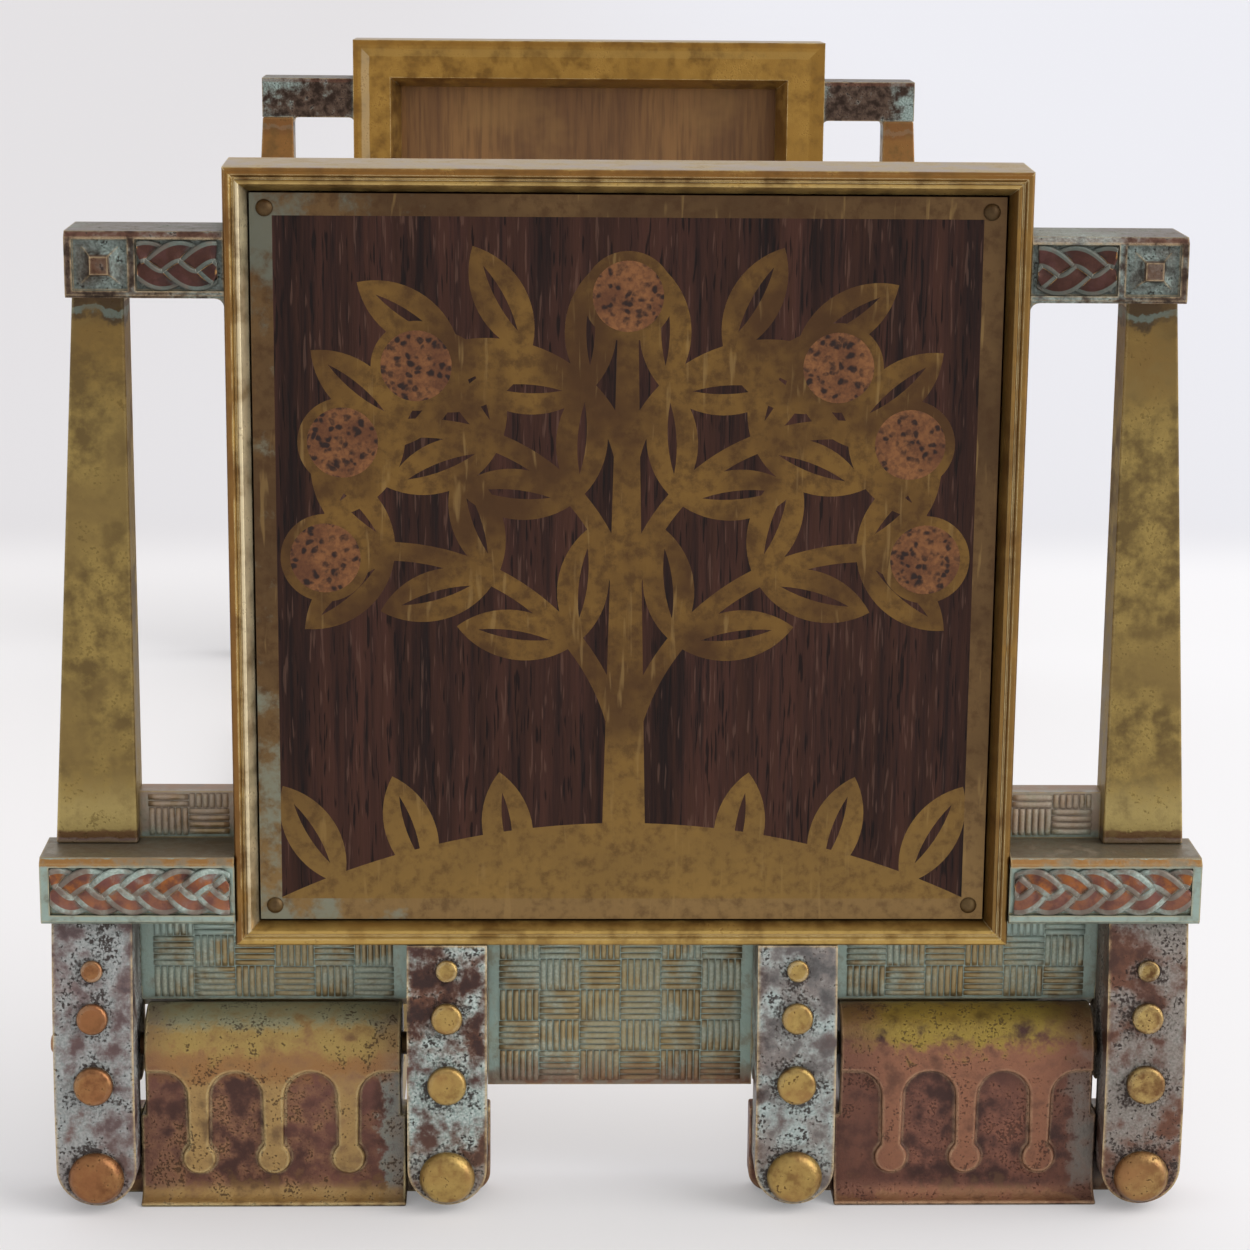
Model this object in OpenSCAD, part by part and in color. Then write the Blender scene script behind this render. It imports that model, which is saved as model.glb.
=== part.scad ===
// Sliding desk book rack: two folding cast ends with an inlaid panel, joined by two telescoping rails.
// Millimetres. X runs across the rack, Y along it, Z up from the desk.
// Each end is modelled with its outward face at y = 0 and its inside towards +Y, then set in place.

/* [Rack] */
// Distance between the outward faces of the two frames, as the rack stands
rack_l = 336; // [290:1:410]

/* [Picture frame] */
// Outer side of the square frame at its outward face
frame_side = 108; // [92:1:130]
// Height of the frame's lower edge above the desk
frame_z = 39; // [34:0.5:46]
// Depth of the frame, and of the whole cast end
frame_d = 13; // [12:0.5:15]
// How far the inward face stands out past the outward face on each side
frame_flare = 0.2; // [0:0.1:1.5]
// Width of the moulding round the panel
mould_w = 3.2; // [2.8:0.1:4]
// Depth of the panel's face below the moulding
mould_drop = 1.7; // [1.2:0.1:2.4]
// Radius of the moulding's outer edge
lip_r = 0.6; // [0.3:0.05:0.7]
// Depth of the groove along the moulding
groove_deep = 0.35; // [0.2:0.05:0.5]
// Distance from the moulding's outer edge to its bead
face_w = 1.6; // [1.5:0.1:1.9]
// Radius of the bead along the moulding
bead_r = 0.35; // [0.2:0.05:0.4]
// Width of the ledge behind the panel
ledge_w = 7.4; // [5:0.2:9]
// Width of the flat border on the inward face
back_land = 8.5; // [7:0.5:9]

/* [Inlaid panel] */
// Thickness of the rosewood panel
panel_t = 2.6; // [2:0.1:3]
// Thickness of the backing board
board_t = 1.4; // [1:0.1:2]
// Thickness of the brass and burl inlay
inlay_t = 0.8; // [0.5:0.1:1]
// Width of the brass border
border_w = 3; // [2.8:0.1:6]
// Clear space between the panel and the frame
panel_gap = 0.25; // [0.1:0.05:0.3]
// Distance of the panel pins from the panel's edge
panel_pin_in = 2; // [1.6:0.1:2.2]
// Diameter of a panel pin's head
panel_pin_d = 2.4; // [2:0.1:3]

/* [Inlay design] */
// Radius of a burl fruit
fruit_r = 4.8; // [3:0.1:6]
// Width of the brass ring round a fruit
fruit_ring = 1.3; // [0.8:0.1:2]
// Length of a brass leaf
leaf_len = 16.5; // [10:0.5:18]
// Widest part of a brass leaf
leaf_wide = 7; // [4:0.2:8]
// Width of the slit along a leaf
vein_w = 1.2; // [0.6:0.1:1.4]
// Width of a bough
bough_w = 2.6; // [1.6:0.1:3]
// Width of the trunk
trunk_w = 6.4; // [4:0.2:7]
// Height of the mound under the trunk
mound_h = 11; // [6:0.5:12]

/* [Posts and arms] */
// Clear space between the frame and a post
side_gap = 13.8; // [10:0.2:18]
// Width of a post at its foot
post_foot_w = 11.4; // [9:0.2:13]
// Width of a post at its top
post_top_w = 7; // [5:0.2:8]
// Depth of a post
post_d = 6.7; // [5:0.1:8]
// Height of an arm
arm_h = 8.9; // [7:0.1:11]
// Depth of an arm
arm_d = 12.1; // [10:0.1:12.4]
// Distance from the frame's top down to the arm's top
arm_drop = 8.6; // [6:0.1:14]
// Width of the raised edge round the arm's sunk fields
arm_rim = 1; // [0.8:0.1:1.4]
// Depth of the sunk fields
field_deep = 0.7; // [0.4:0.1:1]
// Height of the pyramid on the arm's end block
boss_h = 1.8; // [1:0.1:2.2]
// Side of the pyramid's flat top
boss_top = 2.4; // [1.6:0.1:3]
// How far the pyramid's sides hollow in, as a part of their length
boss_sag = 0.14; // [0.05:0.01:0.2]
// Width of the bevel along the upper front edges of the arms and bands
edge_bevel = 0.8; // [0.4:0.1:0.9]
// Width of the bevel along their lower front edges
low_bevel = 0.4; // [0.2:0.1:0.8]
// Radius of the cast corners under the arms
cast_r = 1.2; // [0.6:0.1:1.6]

/* [Plate and sill bands] */
// Thickness of the woven plate
plate_t = 3.7; // [3:0.1:4.5]
// Height of the plate's lower edge between the feet
plate_low = 14.9; // [13:0.1:18]
// Height of the plate above the sill band
plate_rise = 6.8; // [4:0.2:9]
// Height of the sill band above the desk
band_z = 42.5; // [40:0.5:48]
// Height of the sill band
band_h = 9.5; // [8:0.1:12]
// How far the band stands in front of the frame's face
band_proud = 1; // [0.4:0.1:1.6]
// How far the band stands out past the outer straps
band_over = 1.2; // [0.6:0.1:2]
// Width of the raised edge round the band's sunk field
band_rim = 1.3; // [1:0.1:1.8]

/* [Straps] */
// Width of a strap
strap_w = 11.2; // [9:0.2:13]
// Distance between the inner straps' facing edges
strap_span = 38; // [30:1:46]
// Height of a strap's round lower end above the desk
strap_lift = 0.9; // [0.5:0.1:1.4]
// How far a strap bulges forward at its fullest
strap_bulge = 2; // [1:0.1:2.6]
// Height of that fullest place
bulge_z = 14; // [10:0.5:20]
// Thickness of a strap's lower end behind the frame's face
tail_d = 5; // [4.2:0.1:5.2]
// Diameter of the rivet shanks
rivet_shank = 1.8; // [1.4:0.1:2.2]
// Depth of the blind rivets
rivet_deep = 3.5; // [2.5:0.1:4]
// Diameter of a stud's head
stud_d = 7.8; // [7:0.1:9]
// Height of a stud's head
stud_h = 2; // [1.6:0.1:3]

/* [Hinges and feet] */
// Distance of the hinge axis behind the frame's face
hinge_y = 7.8; // [7.4:0.1:8.2]
// Height of the hinge axis above the desk
hinge_z = 21.8; // [20.8:0.1:24]
// Radius of the hinge barrel
barrel_r = 6; // [5:0.1:6.4]
// Diameter of the hinge pin
hinge_pin_d = 3.3; // [2.6:0.1:4]
// Radial clearance of the pin in the barrel
hinge_fit = 0.06; // [0.03:0.01:0.1]
// Clear space at each end of the barrel
barrel_gap = 1; // [0.5:0.1:1.4]
// How far the pin's round end stands out of the outer strap
pin_out = 1.6; // [1:0.1:2]
// Clear space between a foot and the straps and plate that swing past it
stop_gap = 0.3; // [0.2:0.05:0.5]
// Height of the foot's wide plate
foot_h = 13.5; // [11:0.5:14]
// Thickness of the foot's wide plate
foot_t = 3.7; // [3:0.1:4.5]
// Radius of the foot's lower corners
foot_corner = 3; // [1:0.5:4]
// How far the foot's wide plate stands out past the outer strap
foot_over = 0.4; // [0.2:0.1:0.8]
// Distance of the foot's sunk ground behind the frame's face
ground_y = 2.6; // [2.4:0.1:4]
// Least height of the arches and drops over that ground
drop_relief = 0.8; // [0.5:0.1:1.2]
// Radius of the hollow along the foot's lower front edge
cove_r = 2.6; // [1.5:0.1:3.6]
// Height of the upright edge below that hollow
cove_lip = 0.6; // [0.4:0.1:1]
// Distance between neighbouring drops
drop_pitch = 10.6; // [9:0.1:12]
// Number of drops on a foot
drop_n = 3; // [1:1:3]
// Width of a drop's stem at its top
stem_w = 3; // [2:0.1:4]
// How much narrower the stem is on each side at its foot
stem_taper = 0.3; // [0:0.1:0.6]
// Radius of a drop's round end
drop_r = 2.3; // [2:0.1:3.4]
// Height of the round ends above the desk
drop_z = 6.6; // [5:0.1:7]
// Height of the arches between the drops
arch_z = 19.6; // [18:0.1:20.6]

/* [Rails] */
// Length of a channel
channel_l = 251; // [230:1:258]
// Width of a channel
rail_w = 34; // [26:0.5:35]
// Height of a channel
rail_h = 6.5; // [6:0.1:7]
// Thickness of the channel's sheet
rail_wall = 1.2; // [1:0.1:1.5]
// Width of the lips that hold the slide bar
lip_w = 6; // [4:0.5:8]
// Clear space round the slide bar
slide_gap = 0.3; // [0.2:0.05:0.5]
// Length of the foot's tab inside the rail
tab_l = 18; // [14:1:22]
// Diameter of a rail rivet
rail_rivet_d = 3; // [2.4:0.1:4]
// Diameter of a rail rivet's head
rail_head_d = 5.2; // [4.2:0.1:6]
// Diameter of the stop pin
stop_d = 4; // [3:0.2:5]
// Distance of the stop pin from the slide bar's free end
stop_in = 45; // [30:1:60]
// Length of the stop bar in the channel's mouth
stop_bar_l = 5; // [4:0.5:8]

/* [Hidden] */
$fn = 64;
eps = 0.01;
big = 300;

frame_half = frame_side / 2;
frame_mid = frame_z + frame_half;
frame_top = frame_z + frame_side;
seat_y = mould_drop + panel_t + board_t;
panel_half = frame_half - mould_w - panel_gap;
field_half = panel_half - border_w;
bevel_y = seat_y + (frame_d - seat_y) * 0.45;
panel_pin_at = panel_half - panel_pin_in;
panel_pin_shank = 1.4;
panel_pin_deep = 3;

post_in = frame_half + frame_flare + side_gap;
strap_in = strap_span / 2;
bay_in = strap_in + strap_w;
bay_out = post_in + 0.4;
bay_mid = (bay_in + bay_out) / 2;
bay_w = bay_out - bay_in;
barrel_l = bay_w - 2 * barrel_gap;
end_half = bay_out + strap_w;
band_half = end_half + band_over;
band_top = band_z + band_h;
plate_y = frame_d - plate_t;
plate_top = band_top + plate_rise;
bay_low = hinge_z + barrel_r + 2;
arm_top = frame_top - arm_drop;
arm_low = arm_top - arm_h;
arm_y = 0.5;
arm_out = post_in + post_top_w + 0.1;

strap_rise = frame_z - bulge_z - 1;
strap_r = (strap_rise * strap_rise) / (2 * strap_bulge);
strap_end_z = strap_lift + strap_w / 2;
strap_mids = [strap_in + strap_w / 2, bay_out + strap_w / 2];
rivet_z = [35.5, 28.8, 19.2];
rivet_d = [3.1, 4.4, 5.5];
rivet_h = [1, 1.3, 1.5];
rivet_round = 0.48;
stud_z = strap_end_z - 1.2;
stud_shank = 4;
stud_deep = 3;
hinge_pin_r = hinge_pin_d / 2;

foot_y = tail_d + stop_gap;
foot_back = foot_y + foot_t;
foot_in = strap_in - foot_over;
foot_out = end_half + foot_over;
plate_swing = norm([frame_d - hinge_y, hinge_z - plate_low]);
foot_top = min(foot_h, hinge_z - plate_swing - stop_gap);
apron_y = min(hinge_y - barrel_r, ground_y - drop_relief);
arch_r = (drop_pitch - stem_w) / 2;
drop_first = bay_mid - drop_pitch * (drop_n - 1) / 2;

rail_in_w = rail_w - 2 * rail_wall;
rail_ceiling = rail_h - rail_wall;
bar_w = rail_in_w - 2 * slide_gap;
bar_low = rail_wall + slide_gap;
bar_top = rail_ceiling - slide_gap;
bar_mid = (bar_low + bar_top) / 2;
bar_l = channel_l - tab_l - 1;
slot_w = rail_in_w - 2 * lip_w;
rail_rivet_at = [tab_l * 0.3, tab_l * 0.7];

brass = "#8f7a3e";
bronze = "#6a4a36";
verdigris = "#7d8f86";
rosewood = "#3a221c";
burl = "#9a5a34";
board_brown = "#6e4a2c";

END_NODES = [
    "end_plate", "left_post", "right_post", "left_arm", "right_arm",
    "left_outer_strap", "left_inner_strap", "right_inner_strap", "right_outer_strap",
    "strap_rivets", "strap_studs", "picture_frame", "rosewood_panel", "panel_border",
    "brass_inlay", "burl_inlay", "panel_pins", "backing_board",
    "left_hinge_leaf", "right_hinge_leaf", "left_hinge_pin", "right_hinge_pin",
    "channel", "slide_bar", "rail_rivets", "stop_pin", "stop_bar"
];
ENDS = ["front", "rear"];

// Placing and extruding

// One end in its place: the rear end is the front end turned about the upright axis
module place(end) {
    rotate([0, 0, end == "front" ? 0 : 180]) translate([0, -rack_l / 2, 0]) children();
}

// The left half of an end is the right half mirrored
module on_side(side) {
    mirror([side < 0 ? 1 : 0, 0, 0]) children();
}

// A (y, z) profile extruded along X about x = 0
module along_x(len) {
    rotate([90, 0, 90]) linear_extrude(len, center = true) children();
}

// An (x, z) outline extruded along Y
module along_y(y0, y1) {
    translate([0, y1, 0]) rotate([90, 0, 0]) linear_extrude(y1 - y0) children();
}

// A box given by its corners
module block(low, high) {
    translate(low) cube(high - low);
}

// A low dome on the plane z = 0
module dome(d, h) {
    ball_r = (d * d / 4 + h * h) / (2 * h);
    intersection() {
        translate([0, 0, h - ball_r]) sphere(ball_r);
        cylinder(d = d + 1, h = h + 1);
    }
}

// A raised square with hollow sides, its base on y = 0 and its top towards -Y
module pyramid(base, top, h) {
    intersection() {
        along_x(base) rotate(90) pyramid_section(base, top, h);
        linear_extrude(base, center = true) mirror([0, 1]) pyramid_section(base, top, h);
    }
}

// Its section, with sides that hollow in along an arc
module pyramid_section(base, top, h) {
    run = (base - top) / 2;
    side = norm([run, h]);
    sag = side * boss_sag;
    r = (side * side / 4 + sag * sag) / (2 * sag);
    difference() {
        polygon([[-base / 2, 0], [base / 2, 0], [top / 2, h], [-top / 2, h]]);
        for (sx = [-1, 1])
            translate([sx * (base + top) / 4, h / 2] + (r - sag) / side * [sx * h, run]) circle(r);
    }
}

// Picture frame

// Moulding section: u inwards from the outer edge, v back from the face
function moulding() = [
    [-frame_flare, frame_d],
    [-frame_flare * lip_r / frame_d, lip_r],
    [lip_r, 0],
    [lip_r + groove_deep, 0],
    [lip_r + 2 * groove_deep, groove_deep],
    [face_w + 2 * bead_r, groove_deep],
    [mould_w, mould_drop],
    [mould_w, seat_y],
    [mould_w + ledge_w, seat_y],
    [mould_w + ledge_w, bevel_y],
    [back_land - frame_flare, frame_d]
];

module frame_bar() {
    reach = frame_half + frame_flare + 1;
    intersection() {
        along_x(2 * reach) union() {
            polygon([for (p = moulding()) [p[1], frame_half - p[0]]]);
            translate([lip_r, frame_half - lip_r]) circle(lip_r);
            translate([bead_r, frame_half - face_w - bead_r]) circle(bead_r);
        }
        along_y(-1, frame_d + 1) polygon([[0, 0], [reach, reach], [-reach, reach]]);
    }
}

module picture_frame() {
    color(brass) difference() {
        translate([0, 0, frame_mid])
            for (a = [0:90:270])
                rotate([0, a, 0]) frame_bar();
        panel_pin_shanks();
    }
}

// The space inside the frame's outer faces, which its neighbours are cut by
module frame_envelope() {
    intersection() {
        translate([0, 0, frame_mid]) along_x(big)
            polygon([[-9, -frame_half], [0, -frame_half], [frame_d, -frame_half - frame_flare],
                [frame_d + 1, -frame_half - frame_flare], [frame_d + 1, frame_half + frame_flare],
                [frame_d, frame_half + frame_flare], [0, frame_half], [-9, frame_half]]);
        linear_extrude(big)
            polygon([[-frame_half, -9], [frame_half, -9], [frame_half, 0],
                [frame_half + frame_flare, frame_d], [frame_half + frame_flare, frame_d + 1],
                [-frame_half - frame_flare, frame_d + 1], [-frame_half - frame_flare, frame_d],
                [-frame_half, 0]]);
    }
}

// Inlaid panel

module panel_pin_places() {
    for (sx = [-1, 1])
        for (sz = [-1, 1])
            translate([sx * panel_pin_at, 0, frame_mid + sz * panel_pin_at]) children();
}

module panel_pin_shanks() {
    panel_pin_places()
        translate([0, seat_y + panel_pin_deep, 0]) rotate([90, 0, 0])
            cylinder(d = panel_pin_shank, h = seat_y + panel_pin_deep - mould_drop);
}

module panel_pins() {
    color(brass) panel_pin_places() union() {
        translate([0, mould_drop, 0]) rotate([90, 0, 0]) dome(panel_pin_d, 0.7);
        translate([0, seat_y + panel_pin_deep, 0]) rotate([90, 0, 0])
            cylinder(d = panel_pin_shank, h = seat_y + panel_pin_deep - mould_drop);
    }
}

// A pointed leaf from the origin along +Y: two arcs, with a slit along its middle
module leaf_blade(len, wide) {
    r = (len * len / 4 + wide * wide / 4) / wide;
    translate([0, len / 2]) intersection() {
        translate([r - wide / 2, 0]) circle(r);
        translate([wide / 2 - r, 0]) circle(r);
    }
}

module slit_leaf() {
    difference() {
        leaf_blade(leaf_len, leaf_wide);
        translate([0, leaf_len * 0.22]) leaf_blade(leaf_len * 0.6, vein_w);
    }
}

// Boughs on the right half: height at the trunk, radius of the arc, and the angle it ends at
boughs = [[-31, 33, 76], [-9, 28, 68], [11, 19, 60]];
// Parts of a bough's length at which its leaves stand, and how far they turn from it
leaf_steps = [0.36, 0.6, 0.84];
leaf_turn = 44;
// Places along the mound where leaves grow, and how far each leans out
mound_leaves = [[15, 8], [27, 18], [39, 30]];
treetop = 37;
mound_r = 110;

function bough_angle(b, t) = 180 + (b[2] - 180) * t;
function bough_dir(b, t) = [cos(bough_angle(b, t)), sin(bough_angle(b, t))];
function bough_point(b, t) = [b[1], b[0]] + b[1] * bough_dir(b, t);

module bough(b) {
    intersection() {
        translate([b[1], b[0]]) difference() {
            circle(b[1] + bough_w / 2);
            circle(b[1] - bough_w / 2);
        }
        translate([b[1], b[0]])
            polygon(concat([[0, 0]], [for (t = [0:0.25:1]) 2 * b[1] * bough_dir(b, t)]));
    }
}

module fruit_places() {
    translate([0, treetop]) children();
    for (sx = [-1, 1])
        for (b = boughs)
            translate([sx * bough_point(b, 1)[0], bough_point(b, 1)[1]]) children();
}

module tree_half() {
    for (b = boughs) {
        bough(b);
        for (t = leaf_steps)
            for (turn = [-leaf_turn, leaf_turn])
                translate(bough_point(b, t)) rotate(bough_angle(b, t) - 180 + turn) slit_leaf();
    }
    for (m = mound_leaves)
        translate([m[0], -field_half + 2]) rotate(-m[1]) slit_leaf();
}

module burl_shapes() {
    fruit_places() circle(fruit_r);
}

module brass_shapes() {
    difference() {
        intersection() {
            union() {
                tree_half();
                mirror([1, 0]) tree_half();
                fruit_places() circle(fruit_r + fruit_ring);
                polygon([[-trunk_w / 2, -field_half], [trunk_w / 2, -field_half],
                    [bough_w / 2, treetop], [-bough_w / 2, treetop]]);
                translate([0, mound_h - field_half - mound_r]) circle(mound_r, $fn = 160);
            }
            square(2 * field_half, center = true);
        }
        burl_shapes();
    }
}

module inlay_slab(y0, y1) {
    translate([0, 0, frame_mid]) along_y(y0, y1) children();
}

module brass_inlay() {
    color(brass) inlay_slab(mould_drop, mould_drop + inlay_t) brass_shapes();
}

module burl_inlay() {
    color(burl) inlay_slab(mould_drop, mould_drop + inlay_t) burl_shapes();
}

module panel_border() {
    color(brass) difference() {
        inlay_slab(mould_drop, mould_drop + inlay_t) difference() {
            square(2 * panel_half, center = true);
            square(2 * field_half, center = true);
        }
        panel_pin_shanks();
    }
}

module rosewood_panel() {
    color(rosewood) difference() {
        union() {
            inlay_slab(mould_drop + inlay_t, mould_drop + panel_t) square(2 * panel_half, center = true);
            inlay_slab(mould_drop, mould_drop + inlay_t + eps) difference() {
                square(2 * field_half, center = true);
                brass_shapes();
                burl_shapes();
            }
        }
        panel_pin_shanks();
    }
}

module backing_board() {
    color(board_brown) difference() {
        inlay_slab(mould_drop + panel_t, seat_y) square(2 * panel_half, center = true);
        panel_pin_shanks();
    }
}

// Posts and arms

module post(side) {
    color(brass) on_side(side) along_y(frame_d - post_d, frame_d)
        polygon([[post_in, band_top], [post_in + post_foot_w, band_top],
            [post_in + post_top_w, arm_low], [post_in, arm_low]]);
}

// A (y, z) section from y0 back to y1 with bevels along its front edges
module bevelled(y0, y1, low, high) {
    polygon([[y0 + edge_bevel, high], [y0, high - edge_bevel], [y0, low + low_bevel],
        [y0 + low_bevel, low], [y1, low], [y1, high]]);
}

// A hollow corner below the origin, on its right or left, which thins out just short of its ends
module cast_corner(dir) {
    difference() {
        translate([dir < 0 ? -cast_r : 0, -cast_r]) square([cast_r, cast_r + eps]);
        translate([dir * cast_r, -cast_r]) circle(0.97 * cast_r);
    }
}

module arm(side) {
    block_in = arm_out - arm_h;
    color(bronze) on_side(side) union() {
        difference() {
            union() {
                translate([(frame_half + arm_out) / 2, 0, 0])
                    along_x(arm_out - frame_half) bevelled(arm_y, arm_y + arm_d, arm_low, arm_top);
                along_y(arm_y + low_bevel, arm_y + arm_d) translate([frame_half, arm_low]) cast_corner(1);
                along_y(frame_d - post_d, arm_y + arm_d) translate([post_in, arm_low]) cast_corner(-1);
            }
            block([frame_half - 2, arm_y - 1, arm_low + arm_rim],
                [block_in - arm_rim / 2, arm_y + field_deep, arm_top - arm_rim]);
            block([block_in + arm_rim / 2, arm_y - 1, arm_low + arm_rim],
                [arm_out - arm_rim, arm_y + field_deep, arm_top - arm_rim]);
            frame_envelope();
        }
        translate([(block_in - arm_rim / 2 + arm_out) / 2, arm_y + field_deep, (arm_low + arm_top) / 2])
            pyramid(arm_h - 2 * arm_rim - 1, boss_top, boss_h);
    }
}

// Plate and sill bands

module plate_outline() {
    translate([-strap_in, plate_low]) square([strap_span, frame_z - plate_low]);
    translate([-end_half, bay_low]) square([2 * end_half, band_top - bay_low]);
    translate([-post_in, band_z]) square([2 * post_in, plate_top - band_z]);
}

module band(side) {
    on_side(side) difference() {
        translate([(frame_half + band_half) / 2, 0, 0])
            along_x(band_half - frame_half) bevelled(-band_proud, plate_y + eps, band_z, band_top);
        block([frame_half - 2, -band_proud - 1, band_z + band_rim],
            [band_half - band_rim, field_deep - band_proud, band_top - band_rim]);
    }
}

// The plate's lower edge between two straps, hollowed so that it swings round the barrel
module plate_over_barrel(side) {
    on_side(side) difference() {
        block([bay_in, plate_y, hinge_z + barrel_r * 0.7], [bay_out, frame_d, bay_low + eps]);
        hinge_bore(barrel_r + stop_gap);
    }
}

module end_plate() {
    color(verdigris) difference() {
        union() {
            along_y(plate_y, frame_d) plate_outline();
            for (side = [-1, 1]) {
                band(side);
                plate_over_barrel(side);
            }
        }
        frame_envelope();
        rivet_shanks();
    }
}

// Straps with their rivets and studs

// Distance of a strap's bulging front from the frame's face, and its lean, at a height
function strap_front(z) = strap_r - strap_bulge - sqrt(strap_r * strap_r - (z - bulge_z) * (z - bulge_z));
function strap_lean(z) = asin((z - bulge_z) / strap_r);

// Where a rivet or stud stands: z = 0 is the strap's front and +Z points out of it
module on_strap(x, z) {
    translate([x, strap_front(z), z]) rotate([90 - strap_lean(z), 0, 0]) children();
}

module strap_side_profile() {
    intersection() {
        translate([strap_r - strap_bulge, bulge_z]) circle(strap_r, $fn = 200);
        union() {
            translate([-9, strap_lift]) square([9 + tail_d, hinge_z - strap_lift]);
            translate([-9, hinge_z]) square([9 + frame_d, bay_low - hinge_z]);
            translate([-9, bay_low]) square([9 + plate_y, band_z - bay_low]);
            translate([hinge_y, hinge_z]) circle(frame_d - hinge_y);
        }
    }
}

module strap_outline(x) {
    translate([x, strap_end_z]) circle(strap_w / 2);
    translate([x - strap_w / 2, strap_end_z]) square([strap_w, band_z - strap_end_z]);
}

module strap(side, x) {
    color(bronze) on_side(side) difference() {
        intersection() {
            along_x(big) strap_side_profile();
            along_y(-9, frame_d + 1) strap_outline(x);
        }
        frame_envelope();
        hinge_bore(hinge_pin_r);
        rivet_shanks_at(x);
        stud_shank_at(x);
    }
}

module rivet_shanks_at(x) {
    for (i = [0:2])
        on_strap(x, rivet_z[i])
            translate([0, 0, -rivet_length(i)]) cylinder(d = rivet_shank, h = rivet_length(i) + 0.2);
}

// The top rivet goes right through the plate, the others end in the strap
function rivet_length(i) = i == 0 ? (frame_d - strap_front(rivet_z[0])) * 0.92 : rivet_deep;

module rivet_shanks() {
    for (side = [-1, 1])
        on_side(side) for (x = strap_mids) rivet_shanks_at(x);
}

module stud_shank_at(x) {
    on_strap(x, stud_z) translate([0, 0, -stud_deep]) cylinder(d = stud_shank, h = stud_deep + 0.2);
}

// A flat-topped head with a rounded edge
module rivet_head(d, h) {
    r = h * rivet_round;
    rotate_extrude() union() {
        square([d / 2, h - r]);
        square([d / 2 - r, h]);
        translate([d / 2 - r, h - r]) circle(r);
    }
}

module strap_rivets() {
    color(brass) for (side = [-1, 1])
        on_side(side) for (x = strap_mids) for (i = [0:2])
            on_strap(x, rivet_z[i]) union() {
                rivet_head(rivet_d[i], rivet_h[i]);
                translate([0, 0, -rivet_length(i)]) cylinder(d = rivet_shank, h = rivet_length(i) + 0.2);
            }
}

module stud_head() {
    edge = 0.7;
    rotate_extrude() polygon([[0, 0], [stud_d / 2, 0], [stud_d / 2, stud_h - 2 * edge],
        [stud_d / 2 - edge, stud_h - edge / 2], [stud_d / 2 - 2 * edge, stud_h], [0, stud_h]]);
}

module strap_studs() {
    color(brass) for (side = [-1, 1])
        on_side(side) for (x = strap_mids)
            on_strap(x, stud_z) union() {
                stud_head();
                translate([0, 0, -stud_deep]) cylinder(d = stud_shank, h = stud_deep + 0.2);
            }
}

// Hinge pins and feet

module hinge_bore(r) {
    translate([0, hinge_y, hinge_z]) rotate([0, 90, 0]) cylinder(r = r, h = big);
}

module hinge_pin(side) {
    round_end = 0.6;
    color(brass) on_side(side) translate([0, hinge_y, hinge_z]) rotate([0, 90, 0]) union() {
        translate([0, 0, strap_in])
            cylinder(r = hinge_pin_r, h = end_half + pin_out - round_end - strap_in);
        translate([0, 0, end_half + pin_out - round_end])
            cylinder(r1 = hinge_pin_r, r2 = hinge_pin_r - round_end, h = round_end);
    }
}

module rounded_low(x0, x1, h, r) {
    translate([x0, r]) square([x1 - x0, h - r]);
    translate([x0 + r, 0]) square([x1 - x0 - 2 * r, r + eps]);
    translate([x0 + r, r]) circle(r);
    translate([x1 - r, r]) circle(r);
}

// The foot's front below the barrel: drops with round ends, with arches between them
module drops_outline() {
    difference() {
        translate([bay_mid - barrel_l / 2, drop_z]) square([barrel_l, hinge_z - drop_z]);
        arch_openings();
    }
    for (i = [0:drop_n - 1])
        translate([drop_first + drop_pitch * i, drop_z]) circle(drop_r);
}

// The arches, cut through to the foot's sides beyond the first and the last drop
module arch_openings() {
    side_at = drop_pitch * drop_n / 2;
    for (i = [0:drop_n])
        arch(drop_first + drop_pitch * (i - 0.5));
    for (sx = [-1, 1])
        translate([bay_mid + sx * (side_at + bay_w / 2), arch_z / 2]) square([bay_w, arch_z], center = true);
}

module arch(x) {
    translate([x, arch_z - arch_r]) circle(arch_r);
    polygon([[x - arch_r, arch_z - arch_r], [x - arch_r - stem_taper, 0],
        [x + arch_r + stem_taper, 0], [x + arch_r, arch_z - arch_r]]);
}

// A (y, z) section that sweeps forward from the foot's ground to its lower edge
module cove_section() {
    difference() {
        translate([ground_y - cove_r, 0]) square([cove_r + eps, cove_lip + cove_r]);
        translate([ground_y - cove_r, cove_lip + cove_r]) circle(cove_r);
    }
}

// The foot's tab fills the channel, or half the slide bar's thickness under its lap
module rail_tab(is_channel) {
    half = (is_channel ? rail_in_w : bar_w) / 2;
    low = is_channel ? rail_wall : bar_low;
    high = is_channel ? rail_ceiling : bar_mid;
    block([bay_mid - half, foot_back - eps, low], [bay_mid + half, foot_back + tab_l, high]);
}

module hinge_leaf(side) {
    color(bronze) on_side(side) difference() {
        union() {
            difference() {
                translate([bay_mid, hinge_y, hinge_z]) rotate([0, 90, 0])
                    cylinder(r = barrel_r, h = barrel_l, center = true);
                along_y(0, ground_y) arch_openings();
            }
            block([bay_mid - barrel_l / 2, ground_y, 0], [bay_mid + barrel_l / 2, foot_back, hinge_z]);
            block([bay_in + stop_gap, ground_y, 0], [bay_out - stop_gap, foot_back, foot_top]);
            translate([bay_mid, 0, 0]) along_x(bay_w - 2 * stop_gap) cove_section();
            along_y(foot_y, foot_back) rounded_low(foot_in, foot_out, foot_top, foot_corner);
            along_y(apron_y, ground_y + eps) drops_outline();
            rail_tab(side < 0);
        }
        hinge_bore(hinge_pin_r + hinge_fit);
        on_side(side) rail_rivet_shanks(side);
    }
}

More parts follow.
